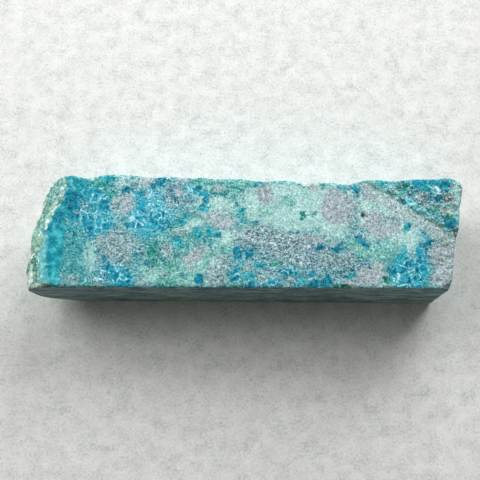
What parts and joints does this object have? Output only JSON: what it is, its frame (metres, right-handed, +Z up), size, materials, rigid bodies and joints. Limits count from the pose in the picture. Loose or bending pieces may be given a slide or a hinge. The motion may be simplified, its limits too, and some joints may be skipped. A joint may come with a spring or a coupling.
{
  "type": "chrysocolla specimen",
  "caption": "Rough-sawn bar of blue-green chrysocolla in quartz, with natural crust at one end, a drusy broken corner and a flat sawn base to rest on.",
  "frame": {"origin": "centre of the bounding box, on the flat sawn base", "axes": "+X along the bar from the crust end to the drusy corner, +Y from the sawn front to the broken back, +Z up to the sawn top"},
  "size_m": [0.1064, 0.0286, 0.0195],
  "materials": {
    "stone": "matt sawn chrysocolla and quartz, not polished"
  },
  "bodies": {
    "root": {"chrysocolla_bar": "stone"}
  },
  "joints": []
}
